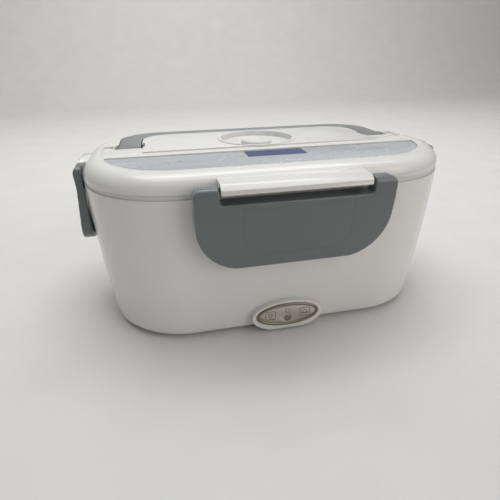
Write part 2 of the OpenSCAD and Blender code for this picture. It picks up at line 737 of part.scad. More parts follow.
module panel_plan(panel, grow) {
    z0 = latch_bottom + 8;
    r = min(12, panel / 2);
    translate([0, z0 + r]) {
        square_from(-panel - grow, 0, panel + grow, flap_top - 1.7 - z0 - r + grow);
        square_from(-panel + r, -r - grow, panel - r, 0.1);
        for (s = [-1, 1]) translate([s * (panel - r), 0]) circle(r + grow);
    }
}

module long_latch() latch(latch_hw, ear_w, latch_out, 5, latch_corner, panel_hw, pivot_out, pin_r, 4.6);
module end_latch()
    latch(end_latch_hw, end_ear_w, end_latch_out, -2, end_latch_corner, end_panel_hw, end_pivot_out, end_pin_r, 0.5);

module front_latch() at_side(0, hy) long_latch();
module back_latch() at_side(180, hy) long_latch();
module left_latch() at_side(270, hx) end_latch();
module right_latch() at_side(90, hx) end_latch();

// ---------- drawing ----------

outer_shell();
inner_well();
base_plate();
rubber_feet();
base_screws();
heating_plate();
ptc_heater();
heater_bracket();
bracket_screws();
thermostat();
thermal_fuse();
circuit_board();
light_pipe();
indicator_bezel();
indicator_plate();
mains_inlet();
car_inlet();
inlet_pins();
wiring();
food_tray();
side_box();
side_box_lid();
lid_shell();
lid_liner();
lid_seal();
handle_pins();
vent_plug();
carry_handle();
cutlery_cover();
cover_label();
front_latch();
back_latch();
left_latch();
right_latch();
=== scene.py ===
"""Looks of an electric lunch box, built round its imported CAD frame.

Each sub-assembly is a class that builds its meshes and dresses them.  A
moulding is a welded copy of its CAD node with soft edges.  Trim, marks and
repeated details are meshes of their own, set out from the nodes' boxes.
"""

import json
import logging
import math
from collections.abc import Callable, Sequence
from dataclasses import dataclass, field
from enum import Enum

import bmesh
import bpy
from mathutils import Matrix, Vector

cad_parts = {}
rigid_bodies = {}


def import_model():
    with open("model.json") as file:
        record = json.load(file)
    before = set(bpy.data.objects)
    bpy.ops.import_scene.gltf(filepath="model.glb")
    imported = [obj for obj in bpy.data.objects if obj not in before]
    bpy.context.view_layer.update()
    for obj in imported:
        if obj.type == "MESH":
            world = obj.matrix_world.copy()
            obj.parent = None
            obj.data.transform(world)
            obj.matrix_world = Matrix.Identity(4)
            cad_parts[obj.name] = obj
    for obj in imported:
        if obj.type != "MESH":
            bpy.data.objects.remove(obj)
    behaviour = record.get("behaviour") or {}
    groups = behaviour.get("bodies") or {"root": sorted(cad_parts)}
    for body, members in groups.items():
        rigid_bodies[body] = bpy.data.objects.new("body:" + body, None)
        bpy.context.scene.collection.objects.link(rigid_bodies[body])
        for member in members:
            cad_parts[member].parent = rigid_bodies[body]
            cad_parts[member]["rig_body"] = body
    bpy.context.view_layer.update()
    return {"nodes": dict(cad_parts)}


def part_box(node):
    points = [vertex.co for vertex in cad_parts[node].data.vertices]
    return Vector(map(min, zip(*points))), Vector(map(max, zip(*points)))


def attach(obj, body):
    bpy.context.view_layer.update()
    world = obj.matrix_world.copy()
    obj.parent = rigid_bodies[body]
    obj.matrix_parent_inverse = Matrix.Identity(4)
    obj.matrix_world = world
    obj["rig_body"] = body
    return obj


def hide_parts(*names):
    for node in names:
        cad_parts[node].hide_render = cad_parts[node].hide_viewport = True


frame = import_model()

LOG = logging.getLogger("lunch_box")
MM = 0.001
Colour = tuple[float, float, float]
Point2 = tuple[float, float]
Point3 = tuple[float, float, float]
Line = tuple[list[Point2], bool]  # points, and whether they close on themselves


# ---------------------------------------------------------------- finishes


NOISE_RANGE = (0.3, 0.7)  # where most of a noise's values lie


class NodeGraph:
    """A material's node tree with short calls to add and join nodes."""

    def __init__(self, material: bpy.types.Material) -> None:
        """Clears the tree of a material and gives it an output.

        Args:
            material: The material whose nodes are built.
        """
        material.use_nodes = True
        self.tree = material.node_tree
        self.tree.nodes.clear()
        self.output = self.tree.nodes.new("ShaderNodeOutputMaterial")

    def add(self, kind: str, **inputs: float | Point3) -> bpy.types.Node:
        """Adds a node.

        Args:
            kind: The node's type name.
            **inputs: Values of its sockets; underscores stand for spaces.

        Returns:
            The new node.
        """
        made = self.tree.nodes.new(kind)
        for key, value in inputs.items():
            made.inputs[key.replace("_", " ")].default_value = value
        return made

    def join(self, source: bpy.types.Node, out: str, target: bpy.types.Node, into: str) -> None:
        """Links one node's output to another's input."""
        self.tree.links.new(source.outputs[out], target.inputs[into])

    def object_noise(self, scale: float, detail: float, stretch: Point3 = (1, 1, 1)) -> bpy.types.Node:
        """Noise that is fixed to the piece.

        Args:
            scale: Cells per metre.
            detail: Octaves of finer noise.
            stretch: Factors along x, y and z.

        Returns:
            The noise node.
        """
        place = self.add("ShaderNodeTexCoord")
        mapping = self.add("ShaderNodeMapping", Scale=stretch)
        noise = self.add("ShaderNodeTexNoise", Scale=scale, Detail=detail)
        self.join(place, "Object", mapping, "Vector")
        self.join(mapping, "Vector", noise, "Vector")
        return noise

    def spread(self, noise: bpy.types.Node, low: float, high: float) -> bpy.types.Node:
        """Maps a noise's middle range to other values.

        Args:
            noise: The noise node.
            low: Value at the range's low end.
            high: Value at its high end.

        Returns:
            The mapping node.
        """
        start, end = NOISE_RANGE
        made = self.add("ShaderNodeMapRange", From_Min=start, From_Max=end, To_Min=low, To_Max=high)
        self.join(noise, "Fac", made, "Value")
        return made

    def tint(self, noise: bpy.types.Node, dark: Colour, light: Colour) -> bpy.types.Node:
        """Turns a noise's middle range into colours.

        Args:
            noise: The noise node.
            dark: Colour at the range's low end.
            light: Colour at its high end.

        Returns:
            The colour ramp node.
        """
        ramp = self.add("ShaderNodeValToRGB")
        for stop, place, colour in zip(ramp.color_ramp.elements, NOISE_RANGE, (dark, light)):
            stop.position = place
            stop.color = (*colour, 1)
        self.join(noise, "Fac", ramp, "Fac")
        return ramp

    def bump(self, noise: bpy.types.Node, depth: float, strength: float) -> bpy.types.Node:
        """Makes a relief from a noise.

        Args:
            noise: The noise node.
            depth: Its depth in metres.
            strength: Its share, from 0 to 1.

        Returns:
            The bump node.
        """
        made = self.add("ShaderNodeBump", Strength=strength, Distance=depth)
        self.join(noise, "Fac", made, "Height")
        return made

    def surface(
        self, tint: bpy.types.Node, rough: bpy.types.Node, relief: bpy.types.Node, **inputs: float
    ) -> None:
        """Ends the tree in a shader that takes its look from three nodes.

        Args:
            tint: The colour ramp.
            rough: The mapping that gives the roughness.
            relief: The bump.
            **inputs: Values of the shader's other sockets.
        """
        shader = self.add("ShaderNodeBsdfPrincipled", **inputs)
        self.join(tint, "Color", shader, "Base Color")
        self.join(rough, "Result", shader, "Roughness")
        self.join(relief, "Normal", shader, "Normal")
        self.join(shader, "BSDF", self.output, "Surface")


def shade(colour: Colour, factor: float) -> Colour:
    """Returns a colour made darker or lighter by a factor."""
    return tuple(min(1.0, c * factor) for c in colour)


@dataclass(frozen=True)
class Finish:
    """What every finish has: its name, its material slot and its colour."""

    name: str
    slot: str
    colour: Colour

    def dress(self, graph: NodeGraph) -> None:
        """Builds the finish's nodes in a graph."""
        raise NotImplementedError

    def between(self, low: float, high: float) -> tuple[Colour, Colour]:
        """Returns the colour made darker or lighter by two factors."""
        return shade(self.colour, low), shade(self.colour, high)

    def material(self) -> bpy.types.Material:
        """Makes the finish's material the first time, and finds it after that.

        Returns:
            The material of this finish's name.
        """
        found = bpy.data.materials.get(self.name)
        if found:
            return found
        made = bpy.data.materials.new(self.name)
        made.diffuse_color = (*self.colour, 1)
        self.dress(NodeGraph(made))
        return made


@dataclass(frozen=True)
class Moulded(Finish):
    """Injection-moulded plastic with a fine texture and faint mottling."""

    roughness: float = 0.25
    coat: float = 0.0
    coat_roughness: float = 0.12
    index: float = 1.49
    mottle: float = 0.03
    mottle_scale: float = 22.0
    wear_scale: float = 60.0
    grain: float = 900.0
    grain_depth: float = 0.03 * MM
    grain_strength: float = 0.12

    def dress(self, graph: NodeGraph) -> None:
        """Builds the plastic's nodes.

        Args:
            graph: The graph of the finish's material.
        """
        cloud = graph.object_noise(self.mottle_scale, 3.0)
        tint = graph.tint(cloud, *self.between(1 - self.mottle, 1 + self.mottle / 2))
        wear = graph.object_noise(self.wear_scale, 4.0)
        rough = graph.spread(wear, self.roughness * 0.93, self.roughness * 1.1)
        relief = graph.bump(graph.object_noise(self.grain, 2.0), self.grain_depth, self.grain_strength)
        coating = {"Coat_Weight": self.coat, "Coat_Roughness": self.coat_roughness}
        graph.surface(tint, rough, relief, IOR=self.index, **coating)


@dataclass(frozen=True)
class Clear(Finish):
    """Clear moulded plastic, a little milky, with slow ripples."""

    roughness: float = 0.12
    transmission: float = 0.9
    index: float = 1.3
    streak: float = 0.0
    streak_scale: float = 26.0
    haze_scale: float = 35.0
    ripple: float = 0.2 * MM
    ripple_scale: float = 28.0
    ripple_strength: float = 0.35

    def dress(self, graph: NodeGraph) -> None:
        """Builds the clear plastic's nodes.

        Args:
            graph: The graph of the finish's material.
        """
        streaks = graph.object_noise(self.streak_scale, 5.0, (0.35, 2.2, 1))
        tint = graph.tint(streaks, *self.between(1 - self.streak * 0.2, 1 + self.streak))
        haze = graph.object_noise(self.haze_scale, 4.0)
        rough = graph.spread(haze, self.roughness * 0.7, self.roughness * 1.4)
        waves = graph.object_noise(self.ripple_scale, 2.0, (0.5, 1.6, 1))
        relief = graph.bump(waves, self.ripple, self.ripple_strength)
        graph.surface(tint, rough, relief, Transmission_Weight=self.transmission, IOR=self.index)


@dataclass(frozen=True)
class Metal(Finish):
    """Metal with fine brushing along one direction."""

    roughness: float = 0.3
    brush: Point3 = (0.05, 1.0, 1.0)
    brush_scale: float = 1400.0
    brush_depth: float = 0.02 * MM

    def dress(self, graph: NodeGraph) -> None:
        """Builds the metal's nodes.

        Args:
            graph: The graph of the finish's material.
        """
        lines = graph.object_noise(self.brush_scale, 3.0, self.brush)
        tint = graph.tint(lines, *self.between(0.9, 1.06))
        rough = graph.spread(lines, self.roughness * 0.8, self.roughness * 1.25)
        relief = graph.bump(lines, self.brush_depth, 0.2)
        graph.surface(tint, rough, relief, Metallic=1.0)


@dataclass(frozen=True)
class Elastic(Finish):
    """Silicone or rubber: matt, with a soft sheen and a fine skin."""

    roughness: float = 0.5
    sheen: float = 0.1
    cloud_scale: float = 120.0
    wear_scale: float = 200.0
    skin_scale: float = 2500.0
    skin_depth: float = 0.04 * MM

    def dress(self, graph: NodeGraph) -> None:
        """Builds the rubber's nodes.

        Args:
            graph: The graph of the finish's material.
        """
        tint = graph.tint(graph.object_noise(self.cloud_scale, 3.0), *self.between(0.94, 1.0))
        wear = graph.object_noise(self.wear_scale, 3.0)
        rough = graph.spread(wear, self.roughness * 0.85, self.roughness * 1.15)
        relief = graph.bump(graph.object_noise(self.skin_scale, 2.0), self.skin_depth, 0.2)
        graph.surface(tint, rough, relief, Sheen_Weight=self.sheen)


WHITE = Moulded(
    "white_gloss_plastic", "white_plastic", (0.76, 0.755, 0.73), roughness=0.24, coat=0.4, mottle=0.006
)
# Inner white of the well, the lid's inner plate and the side box: the same white plastic as the body but
# rougher, and its colour a little darker as painted shade for the seam where the flanges show between lid and
# body.
WELL_WHITE_PAINTED_SHADE = Moulded("white_inner_plastic_painted_shade", "white_plastic", (0.72, 0.72, 0.70), roughness=0.34, mottle=0.02)
GREY = Moulded(
    "grey_satin_plastic",
    "grey_plastic",
    (0.128, 0.145, 0.152),
    roughness=0.33,
    coat=0.45,
    grain=1500.0,
    grain_strength=0.2,
)
WINDOW = Clear(
    "clear_cover_plastic",
    "clear_plastic",
    (0.66, 0.685, 0.71),
    roughness=0.27,
    transmission=0.45,
    streak=0.25,
)
BOX_LID = Clear("clear_box_lid_plastic", "clear_plastic", (0.86, 0.90, 0.92), roughness=0.2)
TRAY_STEEL = Metal("drawn_tray_steel", "tray_steel", (0.62, 0.62, 0.61), roughness=0.28)
SCREW_STEEL = Metal("plain_screw_steel", "screw_steel", (0.50, 0.50, 0.50), roughness=0.35)
ALUMINIUM = Metal("heater_aluminium", "heater_aluminium", (0.70, 0.71, 0.72), roughness=0.42)
BEZEL = Metal("bronze_trim", "bezel", (0.27, 0.24, 0.185), roughness=0.36, brush=(1, 1, 1), brush_scale=500.0)
FACE = Metal("silver_face_plate", "face_plate", (0.62, 0.60, 0.56), roughness=0.45, brush=(0.04, 1, 1))
BRASS = Metal("contact_brass", "pin_brass", (0.60, 0.45, 0.22), roughness=0.3)
MARK = Moulded("printed_mark", "face_plate", (0.21, 0.18, 0.15), roughness=0.5, grain_strength=0.05)
LAMP = Moulded("smoky_lamp", "lamp", (0.20, 0.17, 0.15), roughness=0.15, coat=0.6, grain_strength=0.02)
BLACK = Moulded("black_socket_plastic", "socket_plastic", (0.02, 0.02, 0.022), roughness=0.42)
SOOT = Moulded("dark_thermostat_case", "thermostat_case", (0.025, 0.02, 0.018), roughness=0.45)
BOARD = Moulded("board_green", "board", (0.02, 0.12, 0.05), roughness=0.3, coat=0.4)
HEATER = Moulded("heater_wrap", "heater_ceramic", (0.62, 0.55, 0.42), roughness=0.6, mottle=0.1)
WIRE = Moulded("wire_insulation", "wire", (0.33, 0.02, 0.015), roughness=0.4)
LABEL = Moulded("blue_label", "label", (0.040, 0.070, 0.185), roughness=0.5, grain_strength=0.05, mottle=0.12)
SILICONE = Elastic("pale_silicone", "silicone", (0.70, 0.72, 0.71), roughness=0.42)
RUBBER = Elastic("foot_rubber", "foot_rubber", (0.03, 0.03, 0.03), roughness=0.7)
FLOOR = Moulded("pale_floor", "stage", (0.70, 0.69, 0.67), roughness=0.6, grain_strength=0.05)


# ---------------------------------------------------------------- meshes


def body_of(node: str) -> str:
    """Returns the name of the CAD body that a node belongs to."""
    return frame["nodes"][node]["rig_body"]


def link_new(name: str, data: bpy.types.ID) -> bpy.types.Object:
    """Makes an object of a mesh, a lamp or a camera.

    Args:
        name: The object's name.
        data: What it shows.

    Returns:
        The object, in the scene.
    """
    made = bpy.data.objects.new(name, data)
    bpy.context.scene.collection.objects.link(made)
    return made


def rides(piece: bpy.types.Object, body: str, finish: Finish, *replaced: str) -> None:
    """Finishes a piece and fixes it to a body.

    Args:
        piece: The piece's object, in place.
        body: The CAD body it moves with.
        finish: Its finish.
        *replaced: The CAD nodes that it stands for.
    """
    piece.data.materials.clear()
    piece.data.materials.append(finish.material())
    if replaced:
        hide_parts(*replaced)
    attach(piece, body)
    LOG.info("%s: %d faces on %s", piece.name, len(piece.data.polygons), body)


def keep(node: str, finish: Finish) -> None:
    """Leaves a CAD node as it is and gives it a finish.

    Args:
        node: The node's name.
        finish: Its finish.
    """
    piece = frame["nodes"][node]
    piece.data.materials.clear()
    piece.data.materials.append(finish.material())
    LOG.info("%s: kept on %s", node, body_of(node))


def new_piece(name: str, mesh: bmesh.types.BMesh, smooth_angle: float = 40.0) -> bpy.types.Object:
    """Turns a bmesh into an object with outward normals.

    Args:
        name: The piece's name.
        mesh: Its mesh, in place; it is freed.
        smooth_angle: Edges sharper than this many degrees stay sharp.

    Returns:
        The new object.
    """
    bmesh.ops.remove_doubles(mesh, verts=mesh.verts, dist=0.0001 * MM)
    bmesh.ops.recalc_face_normals(mesh, faces=mesh.faces)
    limit = math.radians(smooth_angle)
    for edge in mesh.edges:
        edge.smooth = not (edge.is_manifold and edge.calc_face_angle(0.0) > limit)
    for face in mesh.faces:
        face.smooth = True
    data = bpy.data.meshes.new(name)
    mesh.to_mesh(data)
    mesh.free()
    return link_new(name, data)


def face_room(edge: bmesh.types.BMEdge) -> float:
    """Measures how far the narrower face beside an edge reaches from it.

    Args:
        edge: The edge between two faces.

    Returns:
        The distance in metres.
    """
    start = edge.verts[0].co
    along = (edge.verts[1].co - start).normalized()
    return min(max(along.cross(v.co - start).length for v in face.verts) for face in edge.link_faces)


FACE_SHARE = 0.4  # how much of the narrower face a rounding may take
ROUND_STEPS = 48  # chords in a small circle


def softened(
    name: str,
    node: str,
    width: float,
    segments: int = 3,
    own_width: Callable[[Vector], float] | None = None,
    sharper_than: float = 28.0,
) -> bpy.types.Object:
    """Makes a moulding: a welded copy of a CAD node with rounded edges.

    Args:
        name: The piece's name.
        node: The CAD node that gives its shape.
        width: Width of the rounding in metres.
        segments: Faces across the rounding.
        own_width: Gives another width for an edge by its middle point.
        sharper_than: Only edges sharper than this many degrees are rounded.

    Returns:
        The new object, with a live bevel.
    """
    mesh = bmesh.new()
    mesh.from_mesh(frame["nodes"][node].data)
    bmesh.ops.remove_doubles(mesh, verts=mesh.verts, dist=0.002 * MM)
    flat = math.radians(0.5)
    bmesh.ops.dissolve_limit(mesh, angle_limit=flat, verts=mesh.verts, edges=mesh.edges)
    weights = mesh.edges.layers.float.new("bevel_weight_edge")
    limit = math.radians(sharper_than)
    for edge in mesh.edges:
        if not (edge.is_manifold and edge.calc_face_angle(0.0) > limit):
            continue
        middle = (edge.verts[0].co + edge.verts[1].co) / 2
        wanted = own_width(middle) if own_width else width
        edge[weights] = max(0.0, min(1.0, min(wanted, FACE_SHARE * face_room(edge)) / width))
    for face in mesh.faces:
        face.smooth = True
    data = bpy.data.meshes.new(name)
    mesh.to_mesh(data)
    mesh.free()
    piece = link_new(name, data)
    bevel = piece.modifiers.new("soft_edges", "BEVEL")
    bevel.limit_method = "WEIGHT"
    bevel.width = width
    bevel.segments = segments
    bevel.use_clamp_overlap = True
    bevel.harden_normals = True
    bevel.miter_outer = "MITER_ARC"
    return piece


def rounded(name: str, node: str, cell: float, rounds: int) -> bpy.types.Object:
    """Makes a moulding that is soft on every edge: an even skin, relaxed.

    Args:
        name: The piece's name.
        node: The CAD node that gives its shape.
        cell: Size of the skin's faces in metres.
        rounds: How often the skin is relaxed.

    Returns:
        The new object, with live modifiers.
    """
    piece = link_new(name, frame["nodes"][node].data.copy())
    skin = piece.modifiers.new("even_skin", "REMESH")
    skin.mode = "VOXEL"
    skin.voxel_size = cell
    skin.use_smooth_shade = True
    relax = piece.modifiers.new("relaxed_edges", "SMOOTH")
    relax.factor = 0.6
    relax.iterations = rounds
    return piece


def ring_loft(rings: Sequence[Sequence[Vector]], capped: bool = True) -> bmesh.types.BMesh:
    """Joins closed rings of equal counts with quads.

    Args:
        rings: The rings in order.
        capped: Whether the first and last rings are filled.

    Returns:
        The mesh.
    """
    mesh = bmesh.new()
    rows = [[mesh.verts.new(p) for p in ring] for ring in rings]
    count = len(rows[0])
    for a, b in zip(rows, rows[1:]):
        for i in range(count):
            j = (i + 1) % count
            mesh.faces.new((a[i], a[j], b[j], b[i]))
    if capped:
        mesh.faces.new(list(reversed(rows[0])))
        mesh.faces.new(rows[-1])
    return mesh


def circle_points(radius: float, count: int = ROUND_STEPS) -> list[Point2]:
    """Returns points round a circle, anticlockwise."""
    turns = [2 * math.pi * i / count for i in range(count)]
    return [(radius * math.cos(t), radius * math.sin(t)) for t in turns]


def flat_ring(radius: float, z: float) -> list[Vector]:
    """Returns a level circle about the vertical axis at a height."""
    return [Vector((x, y, z)) for x, y in circle_points(radius)]


def rounded_box(half_x: float, half_y: float, corner: float, steps: int, inset: float = 0.0) -> list[Point2]:
    """Sets out a rectangle with round corners about the origin.

    Args:
        half_x: Half its length along x.
        half_y: Half its length along y.
        corner: Radius of the corners.
        steps: Chords in each corner.
        inset: How far the outline stands in from that rectangle.

    Returns:
        The outline's points, corner by corner.
    """
    points = []
    for k, (side_x, side_y) in enumerate(((1, 1), (-1, 1), (-1, -1), (1, -1))):
        for i in range(steps + 1):
            t = math.pi / 2 * (k + i / steps)
            x = side_x * (half_x - corner) + (corner - inset) * math.cos(t)
            y = side_y * (half_y - corner) + (corner - inset) * math.sin(t)
            points.append((x, y))
    return points


def stroke(points: Sequence[Point2], width: float, closed: bool) -> list[tuple[Point2, Point2]]:
    """Gives the two sides of a drawn line.

    Args:
        points: The line's points.
        width: Its width.
        closed: Whether it closes on itself.

    Returns:
        Pairs of points on its left and right sides.
    """
    count = len(points)
    sides = []
    for i, (x, y) in enumerate(points):
        before = points[(i - 1) % count] if closed or i > 0 else points[i]
        after = points[(i + 1) % count] if closed or i < count - 1 else points[i]
        dx, dy = after[0] - before[0], after[1] - before[1]
        length = math.hypot(dx, dy) or 1.0
        nx, ny = -dy / length * width / 2, dx / length * width / 2
        sides.append(((x + nx, y + ny), (x - nx, y - ny)))
    return sides


# ---------------------------------------------------------------- repeats


class RepeatTree:
    """A geometry-node tree that sets copies of a piece on a centred grid."""

    def __init__(self) -> None:
        """Builds the tree with named inputs for its sizes."""
        self.tree = bpy.data.node_groups.new("copies_on_a_grid", "GeometryNodeTree")
        face = self.tree.interface
        self.sockets: dict[str, str] = {}
        for name, kind in (
            ("Geometry", "NodeSocketGeometry"),
            ("Copy", "NodeSocketObject"),
            ("Count X", "NodeSocketInt"),
            ("Count Y", "NodeSocketInt"),
            ("Length X", "NodeSocketFloat"),
            ("Length Y", "NodeSocketFloat"),
            ("Finish", "NodeSocketMaterial"),
        ):
            self.sockets[name] = face.new_socket(name=name, in_out="INPUT", socket_type=kind).identifier
        face.new_socket(name="Geometry", in_out="OUTPUT", socket_type="NodeSocketGeometry")
        nodes, links = self.tree.nodes, self.tree.links
        source = nodes.new("NodeGroupInput")
        out = nodes.new("NodeGroupOutput")
        grid = nodes.new("GeometryNodeMeshGrid")
        copy = nodes.new("GeometryNodeObjectInfo")
        copy.transform_space = "ORIGINAL"
        spread = nodes.new("GeometryNodeInstanceOnPoints")
        real = nodes.new("GeometryNodeRealizeInstances")
        paint = nodes.new("GeometryNodeSetMaterial")
        for giver, given, taker, taken in (
            (source, "Length X", grid, "Size X"),
            (source, "Length Y", grid, "Size Y"),
            (source, "Count X", grid, "Vertices X"),
            (source, "Count Y", grid, "Vertices Y"),
            (source, "Copy", copy, "Object"),
            (grid, "Mesh", spread, "Points"),
            (copy, "Geometry", spread, "Instance"),
            (spread, "Instances", real, "Geometry"),
            (real, "Geometry", paint, "Geometry"),
            (source, "Finish", paint, "Material"),
            (paint, "Geometry", out, "Geometry"),
        ):
            links.new(giver.outputs[given], taker.inputs[taken])

    def grow(
        self, name: str, copy: bpy.types.Object, counts: tuple[int, int], lengths: Point2, finish: Finish
    ) -> bpy.types.Object:
        """Runs the tree and keeps its result as a plain mesh.

        Args:
            name: The new piece's name.
            copy: The object that is repeated; it is removed afterwards.
            counts: Copies along x and y.
            lengths: Distances from the first to the last copy along x and y.
            finish: Finish of the copies.

        Returns:
            The new object.
        """
        holder = link_new(name + "_grid", bpy.data.meshes.new(name + "_grid"))
        modifier = holder.modifiers.new("copies", "NODES")
        modifier.node_group = self.tree
        for key, value in (
            ("Copy", copy),
            ("Count X", counts[0]),
            ("Count Y", counts[1]),
            ("Length X", lengths[0]),
            ("Length Y", lengths[1]),
            ("Finish", finish.material()),
        ):
            modifier[self.sockets[key]] = value
        bpy.context.view_layer.update()
        evaluated = holder.evaluated_get(bpy.context.evaluated_depsgraph_get())
        data = bpy.data.meshes.new_from_object(evaluated)
        data.name = name
        bpy.data.objects.remove(holder)
        bpy.data.objects.remove(copy)
        return link_new(name, data)


REPEATS = RepeatTree()


# ---------------------------------------------------------------- housing


@dataclass
class Housing:
    """The body moulding, the heated well, the base and what is under it."""

    seam_edge: float = 0.5 * MM
    boss_edge: float = 1.6 * MM
    boss_depth: float = 1.5 * MM
    boss_rise: float = 6.0 * MM
    pocket_edge: float = 0.25 * MM
    pocket_spare: float = 0.6 * MM
    pocket_floor: float = 5.0 * MM
    foot_radius: float = 7.0 * MM
    foot_groove: float = 0.25 * MM
    groove_half: float = 0.5 * MM
    screw_head: float = 3.0 * MM
    screw_shaft: float = 1.5 * MM
    cross_core: float = 0.5 * MM
    cross_reach: float = 2.0 * MM
    cross_depth: float = 1.0 * MM
    thread_start: float = 2.6 * MM
    tip_length: float = 1.4 * MM
    tip_radius: float = 0.3 * MM
    ring_low: Vector = field(init=False)
    ring_high: Vector = field(init=False)

    def __post_init__(self) -> None:
        """Reads the box of the indicator's trim ring from the frame."""
        self.ring_low, self.ring_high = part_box("indicator_bezel")

    def build(self) -> None:
        """Builds and dresses every piece of the housing."""
        shell = softened("body_moulding", "outer_shell", self.boss_edge, 5, self._shell_width)
        rides(shell, body_of("outer_shell"), WHITE, "outer_shell")
        well = softened("well_moulding", "inner_well", self.seam_edge)
        rides(well, body_of("inner_well"), WELL_WHITE_PAINTED_SHADE, "inner_well")
        base = softened("base_moulding", "base_plate", self.seam_edge)
        rides(base, body_of("base_plate"), WHITE, "base_plate")
        self._feet()
        self._screws()

    def _shell_width(self, middle: Vector) -> float:
        """Chooses the rounding of an edge of the body.

        Args:
            middle: The edge's middle point.

        Returns:
            Its width: large on the boss, small at the seam and the indicator's pocket.
        """
        low, high = self.ring_low, self.ring_high
        if abs(middle.y - low.y) >= self.boss_depth or middle.z >= high.z + self.boss_rise:
            return self.seam_edge
        half_x = (high.x - low.x) / 2 + self.pocket_spare
        half_z = (high.z - low.z) / 2 + self.pocket_spare
        rise = middle.z - (high.z + low.z) / 2
        in_pocket = (middle.x / half_x) ** 2 + (rise / half_z) ** 2 < 1
        return self.pocket_edge if in_pocket and middle.z > self.pocket_floor else self.boss_edge

    def _feet(self) -> None:
        """Makes the four grooved foot pads."""
        low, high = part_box("rubber_feet")
        radius = self.foot_radius
        pole = 0.01 * MM
        profile = [(pole, 0.0)]
        for share in (0.3, 0.55, 0.78):
            r = radius * share
            profile += [(r - self.groove_half, 0.0), (r, self.foot_groove), (r + self.groove_half, 0.0)]
        profile += [(radius - 0.8 * MM, 0.0), (radius - 0.25 * MM, 0.2 * MM), (radius, 0.7 * MM)]
        profile += [(radius, high.z), (pole, high.z)]
        pad = new_piece("foot_pad", ring_loft([flat_ring(r, z) for r, z in profile]), 50)
        lengths = (high.x - low.x - 2 * radius, high.y - low.y - 2 * radius)
        feet = REPEATS.grow("foot_pads", pad, (2, 2), lengths, RUBBER)
        rides(feet, body_of("rubber_feet"), RUBBER, "rubber_feet")

    def _cross(self, reach: float, z: float) -> list[Vector]:
        """Sets out one level of the screw's cross recess.

        Args:
            reach: How far its arms reach.
            z: Its height.

        Returns:
            The ring of points.
        """
        ring = []
        for i in range(ROUND_STEPS):
            t = 2 * math.pi * i / ROUND_STEPS
            arm = abs(math.cos(2 * t)) ** 6
            radius = self.cross_core + (reach - self.cross_core) * arm
            ring.append(Vector((radius * math.cos(t), radius * math.sin(t), z)))
        return ring

    def _screws(self) -> None:
        """Makes the four base screws with a cross recess and a thread."""
        low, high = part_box("base_screws")
        head, shaft = self.screw_head, self.screw_shaft
        rings = [
            self._cross(self.cross_reach * 0.55, low.z + self.cross_depth),
            self._cross(self.cross_reach, low.z + 0.05 * MM),
        ]
        for radius, rise in ((head * 0.82, 0.0), (head, 0.5), (head, 1.8), (shaft, 1.9)):
            rings.append(flat_ring(radius, low.z + rise * MM))
        z = low.z + self.thread_start
        while z < high.z - self.tip_length:
            for radius, step in ((shaft * 0.78, 0.25), (shaft, 0.5)):
                rings.append(flat_ring(radius, z))
                z += step * MM
        rings.append(flat_ring(self.tip_radius, high.z))
        screw = new_piece("base_screw", ring_loft(rings), 35)
        lengths = (high.x - low.x - 2 * head, high.y - low.y - 2 * head)
        screws = REPEATS.grow("base_screw_set", screw, (2, 2), lengths, SCREW_STEEL)
        rides(screws, body_of("base_screws"), SCREW_STEEL, "base_screws")


@dataclass
class HeaterPack:
    """The heating plate and the electrical parts in the base."""

    edge: float = 0.8 * MM

    def build(self) -> None:
        """Builds the plate's casting and dresses the parts below it."""
        plate = softened("heating_plate_casting", "heating_plate", self.edge)
        rides(plate, body_of("heating_plate"), ALUMINIUM, "heating_plate")
        for node, finish in (
            ("ptc_heater", HEATER),
            ("heater_bracket", SCREW_STEEL),
            ("bracket_screws", SCREW_STEEL),
            ("thermostat", SOOT),
            ("thermal_fuse", HEATER),
            ("circuit_board", BOARD),
            ("wiring", WIRE),
        ):
            keep(node, finish)


@dataclass
class PowerInlets:
    """The mains socket and the car-lead socket low in the two ends."""

    edge: float = 0.35 * MM

    def build(self) -> None:
        """Builds both sockets and dresses their pins."""
        for name, node in (("mains_socket_moulding", "mains_inlet"), ("car_socket_moulding", "car_inlet")):
            piece = softened(name, node, self.edge, 2)
            rides(piece, body_of(node), BLACK, node)
        keep("inlet_pins", BRASS)


# ---------------------------------------------------------------- indicator


class Mark(Enum):
    """The plain signs on the indicator plate."""

    PLUG = "plug"
    CAR = "car"
    STANDBY = "standby"


